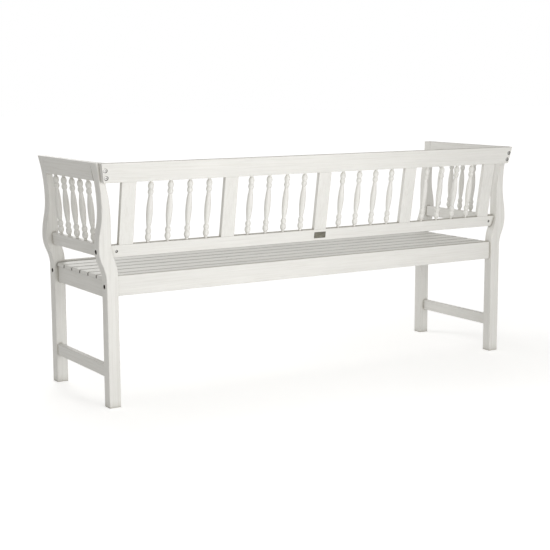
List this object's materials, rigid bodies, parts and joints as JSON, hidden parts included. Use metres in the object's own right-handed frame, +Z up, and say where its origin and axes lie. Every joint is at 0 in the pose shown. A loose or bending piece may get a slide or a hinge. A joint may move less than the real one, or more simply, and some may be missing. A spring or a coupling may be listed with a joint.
{
  "type": "outdoor bench",
  "caption": "Long slatted outdoor bench with S-curved corner posts, leaning back of turned spindles and flat stiles, spindled ends and bolted rails; free-standing seat.",
  "frame": {"origin": "on the floor, in the middle of the bench's box in plan", "axes": "+X along the bench towards its left end as seen from behind, +Y to the back, +Z up"},
  "size_m": [1.852, 0.5466, 0.855],
  "materials": {
    "painted_wood": "whitewashed paint",
    "painted_turning": "whitewashed paint",
    "steel": "zinc plated"
  },
  "bodies": {
    "root": {"arm_left": "painted_wood", "arm_right": "painted_wood", "back_lower_rail": "painted_wood", "back_spindle_1_1": "painted_turning", "back_spindle_1_2": "painted_turning", "back_spindle_1_3": "painted_turning", "back_spindle_1_4": "painted_turning", "back_spindle_2_1": "painted_turning", "back_spindle_2_2": "painted_turning", "back_spindle_2_3": "painted_turning", "back_spindle_2_4": "painted_turning", "back_spindle_3_1": "painted_turning", "back_spindle_3_2": "painted_turning", "back_spindle_3_3": "painted_turning", "back_spindle_3_4": "painted_turning", "back_spindle_4_1": "painted_turning", "back_spindle_4_2": "painted_turning", "back_spindle_4_3": "painted_turning", "back_spindle_4_4": "painted_turning", "back_stile_1": "painted_wood", "back_stile_2": "painted_wood", "back_stile_3": "painted_wood", "back_stile_4": "painted_wood", "back_stile_5": "painted_wood", "back_top_rail": "painted_wood", "barrel_nuts": "steel", "frame_bolts": "steel", "front_apron": "painted_wood", "front_post_left": "painted_wood", "front_post_right": "painted_wood", "rear_apron": "painted_wood", "rear_post_left": "painted_wood", "rear_post_right": "painted_wood", "seat_bearer_left": "painted_wood", "seat_bearer_right": "painted_wood", "seat_slat_1": "painted_wood", "seat_slat_2": "painted_wood", "seat_slat_3": "painted_wood", "seat_slat_4": "painted_wood", "seat_slat_5": "painted_wood", "seat_slat_6": "painted_wood", "side_lower_rail_left": "painted_wood", "side_lower_rail_right": "painted_wood", "side_seat_rail_left": "painted_wood", "side_seat_rail_right": "painted_wood", "side_spindle_left_1": "painted_turning", "side_spindle_left_2": "painted_turning", "side_spindle_left_3": "painted_turning", "side_spindle_left_4": "painted_turning", "side_spindle_left_5": "painted_turning", "side_spindle_right_1": "painted_turning", "side_spindle_right_2": "painted_turning", "side_spindle_right_3": "painted_turning", "side_spindle_right_4": "painted_turning", "side_spindle_right_5": "painted_turning", "stretcher_left": "painted_wood", "stretcher_right": "painted_wood", "top_rail_bolts": "steel"}
  },
  "joints": []
}
